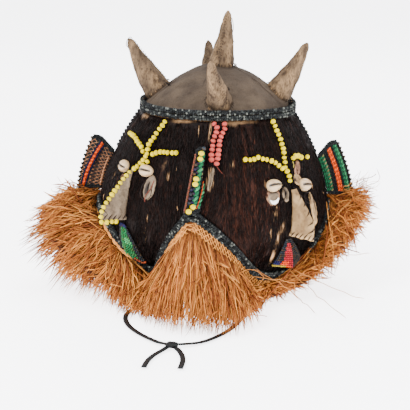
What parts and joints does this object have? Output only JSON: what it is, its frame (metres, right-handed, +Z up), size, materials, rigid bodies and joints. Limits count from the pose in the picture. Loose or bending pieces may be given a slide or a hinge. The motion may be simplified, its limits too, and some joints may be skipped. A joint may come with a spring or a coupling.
{
  "type": "helmet mask",
  "caption": "Round four-faced helmet mask of furry hide with cloth horns, beaded ears, shell eyes, a dark braided rim, a flaring raffia fringe and a black strap.",
  "frame": {"origin": "centre of the mask's own box, without its strap, on the surface it stands on", "axes": "+Z up, the front corner between two faces towards -Y, the right ear towards +X"},
  "size_m": [0.4446, 0.5149, 0.3484],
  "materials": {
    "fur_hide": "hide with short dark brown hair",
    "crown_cloth": "worn grey-brown cloth, matte",
    "dark_braid": "dark slate braided cord with small beads, satin",
    "horn_cloth": "mottled tan cloth over a stuffed cone, matte",
    "ear_weave": "beaded weave in green, blue, orange and black stripes",
    "bare_hide": "bare pale hide, stitched, matte",
    "red_beads": "rows of small glass beads in red, green and black",
    "yellow_beads": "round yellow glass beads on thread",
    "pink_beads": "round dusty pink beads on thread",
    "cowrie_shell": "glossy cream shell with a dark slit",
    "raffia": "loose orange-tan raffia fibres",
    "black_ribbon": "flat black ribbon, satin"
  },
  "bodies": {
    "root": {"helmet_shell": "fur_hide", "crown_dome": "crown_cloth", "collar_braid": "dark_braid", "rim_braid": "dark_braid", "horn_front": "horn_cloth", "horn_right": "horn_cloth", "horn_back": "horn_cloth", "horn_left": "horn_cloth", "horn_crown": "horn_cloth", "ear_front": "ear_weave", "ear_right": "ear_weave", "ear_back": "ear_weave", "ear_left": "ear_weave", "nose_front_right": "bare_hide", "mouth_front_right": "red_beads", "brow_beads_front_right": "yellow_beads", "eye_front_right_left": "cowrie_shell", "eye_front_right_right": "cowrie_shell", "nose_back_right": "bare_hide", "mouth_back_right": "red_beads", "brow_beads_back_right": "yellow_beads", "eye_back_right_left": "cowrie_shell", "eye_back_right_right": "cowrie_shell", "nose_back_left": "bare_hide", "mouth_back_left": "red_beads", "brow_beads_back_left": "yellow_beads", "eye_back_left_left": "cowrie_shell", "eye_back_left_right": "cowrie_shell", "nose_front_left": "bare_hide", "mouth_front_left": "red_beads", "brow_beads_front_left": "yellow_beads", "eye_front_left_left": "cowrie_shell", "eye_front_left_right": "cowrie_shell", "pink_beads_left": "pink_beads", "pink_beads_right": "pink_beads", "raffia_fringe": "raffia", "strap_left": "black_ribbon", "strap_right": "black_ribbon", "strap_knot": "black_ribbon", "strap_tail_left": "black_ribbon", "strap_tail_right": "black_ribbon"}
  },
  "joints": []
}
